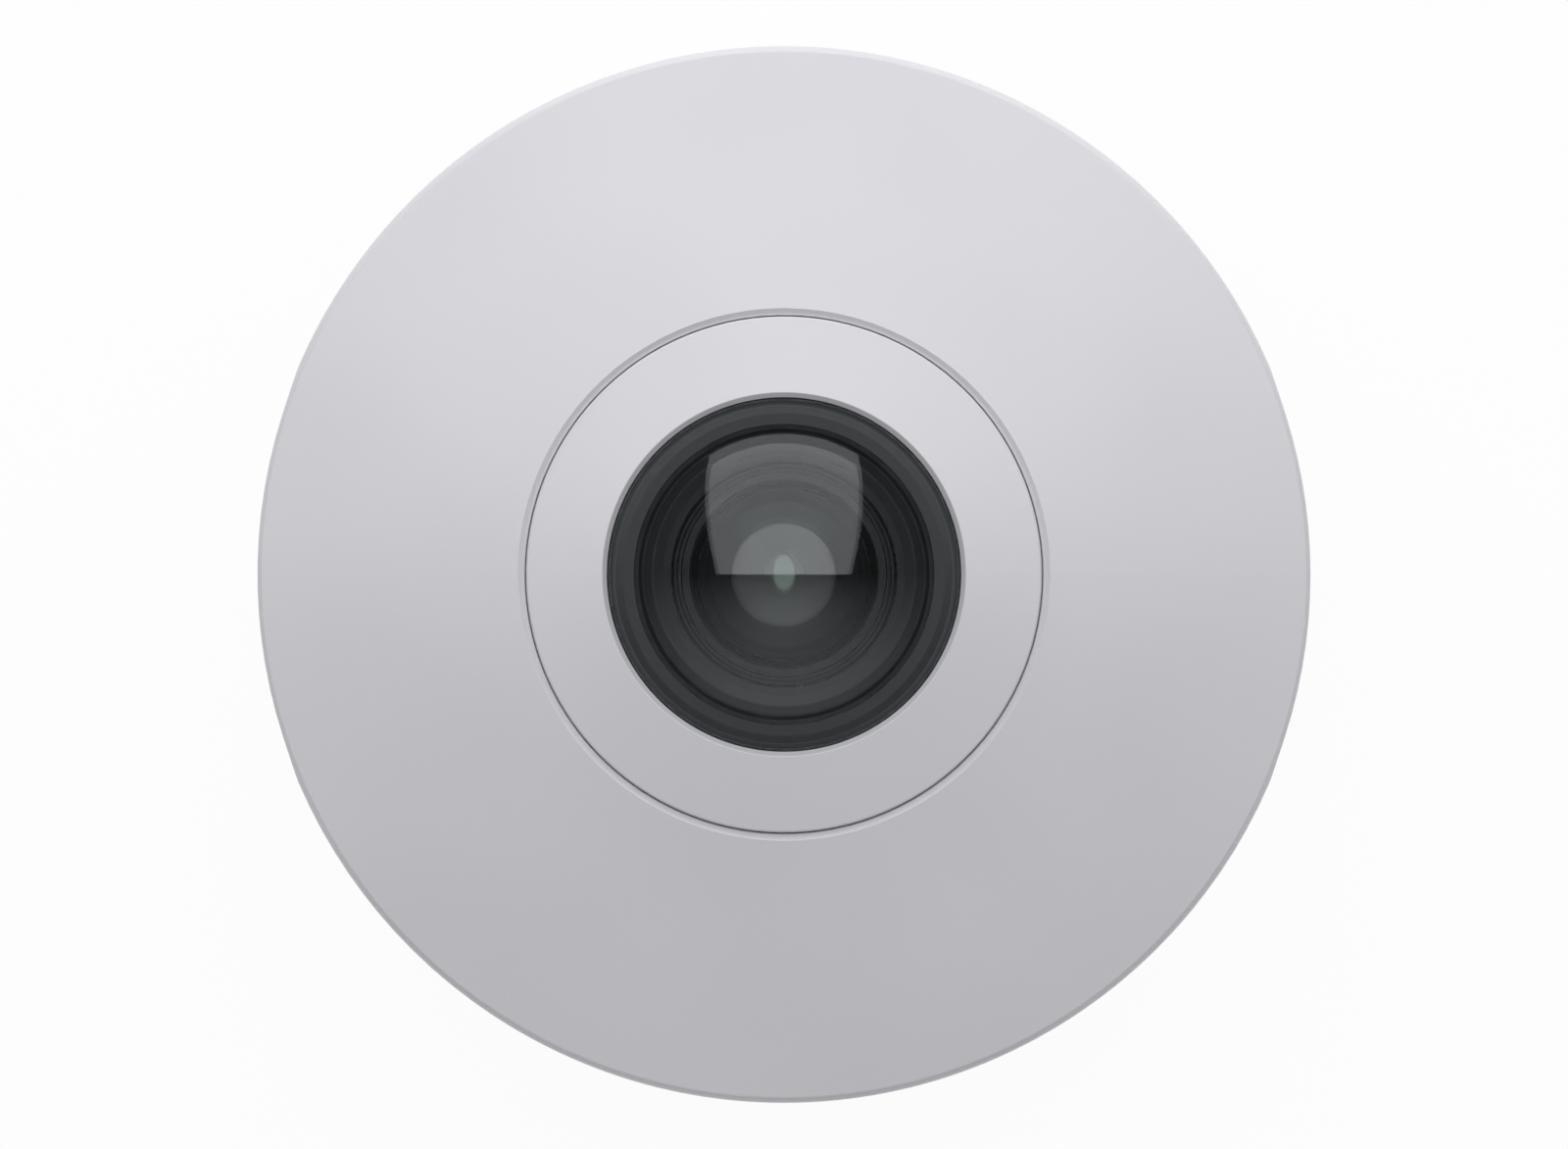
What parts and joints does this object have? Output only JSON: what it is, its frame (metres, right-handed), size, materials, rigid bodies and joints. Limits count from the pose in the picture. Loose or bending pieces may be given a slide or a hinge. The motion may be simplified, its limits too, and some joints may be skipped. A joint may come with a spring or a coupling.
{
  "type": "fisheye ip camera",
  "caption": "Compact round indoor fisheye network camera: conical lift-off cover, clear dome over the lens, twist-on mounting plate, boards and network jack inside",
  "frame": {"origin": "centre of the mounting face, on the ceiling side of the mounting plate", "axes": "+Z is the optical axis, out of the lens; -Y is the side of the cable exit; the finger grips lie at +X and -X"},
  "size_m": [0.1006, 0.101, 0.0495],
  "materials": {
    "shell_plastic": "fine satin moulded polycarbonate blend, pale grey-white",
    "shutter_plastic": "satin moulded plastic",
    "plate_plastic": "glass-filled moulded plastic, matt",
    "tray_plastic": "dark grey glass-filled moulded plastic",
    "black_plastic": "matt black moulded plastic",
    "bezel_black": "satin black moulded ring",
    "black_anodised": "black anodised aluminium",
    "dome_clear": "clear polycarbonate with a hard coat",
    "lens_glass": "coated optical glass",
    "filter_glass": "blue-green infrared filter glass",
    "gasket_rubber": "black silicone",
    "screw_steel": "zinc-plated steel",
    "spring_steel": "bright rolled spring steel",
    "shield_steel": "tinned steel shield",
    "contact_gold": "gold-plated sprung contacts",
    "board_green": "green solder mask on glass-fibre board",
    "chip_black": "black moulded chip package",
    "pad_silicone": "pale blue thermal silicone",
    "sink_aluminium": "extruded, clear anodised aluminium",
    "ferrite": "sintered ferrite and taped winding",
    "can_aluminium": "drawn aluminium can",
    "connector_plastic": "ivory moulded connector",
    "flex_film": "polyester flat cable",
    "sensor_ceramic": "ceramic sensor package",
    "led_clear": "milky clear resin"
  },
  "bodies": {
    "mount": {"mounting_plate": "plate_plastic"},
    "camera": {"front_housing": "shell_plastic", "chassis": "tray_plastic", "lens_baffle": "black_plastic", "lens_holder": "black_plastic", "button_switch": "black_plastic", "bezel_ring": "bezel_black", "lens_barrel": "black_anodised", "lens_ring": "black_anodised", "lens_spacer": "black_anodised", "aperture_stop": "black_anodised", "dome_window": "dome_clear", "front_element": "lens_glass", "second_element": "lens_glass", "rear_elements": "lens_glass", "infrared_filter": "filter_glass", "dome_gasket": "gasket_rubber", "lock_screw": "screw_steel", "board_screws": "screw_steel", "housing_screws": "screw_steel", "sensor_screws": "screw_steel", "cover_springs": "spring_steel", "network_jack": "shield_steel", "card_slot": "shield_steel", "jack_contacts": "contact_gold", "main_board": "board_green", "sensor_board": "board_green", "processor": "chip_black", "memory_chips": "chip_black", "thermal_pad": "pad_silicone", "heat_sink": "sink_aluminium", "power_transformer": "ferrite", "inductors": "ferrite", "capacitors": "can_aluminium", "flex_connectors": "connector_plastic", "flex_cable": "flex_film", "image_sensor": "sensor_ceramic", "status_led": "led_clear"},
    "card": {"memory_card": "black_plastic"},
    "button": {"control_button": "black_plastic"},
    "cover": {"outer_cover": "shell_plastic"},
    "shutter": {"cable_shutter": "shutter_plastic"}
  },
  "joints": [
    {"name": "camera_twist", "type": "hinge", "parent": "mount", "child": "camera", "pos_m": [0, 0, 0], "axis": [0, 0, 1], "range_deg": [0, 20]},
    {"name": "cover_lift", "type": "slide", "parent": "camera", "child": "cover", "axis": [0, 0, 1], "range_m": [0, 0.06]},
    {"name": "shutter_slide", "type": "slide", "parent": "cover", "child": "shutter", "axis": [0, 0, 1], "range_m": [0, 0.0095]},
    {"name": "card_slide", "type": "slide", "parent": "camera", "child": "card", "axis": [1, 0, 0], "range_m": [0, 0.015]},
    {"name": "button_press", "type": "slide", "parent": "camera", "child": "button", "axis": [0, 0, -1], "range_m": [0, 0.0004], "stiffness_N_per_m": 600, "springref_m": -0.0005}
  ]
}
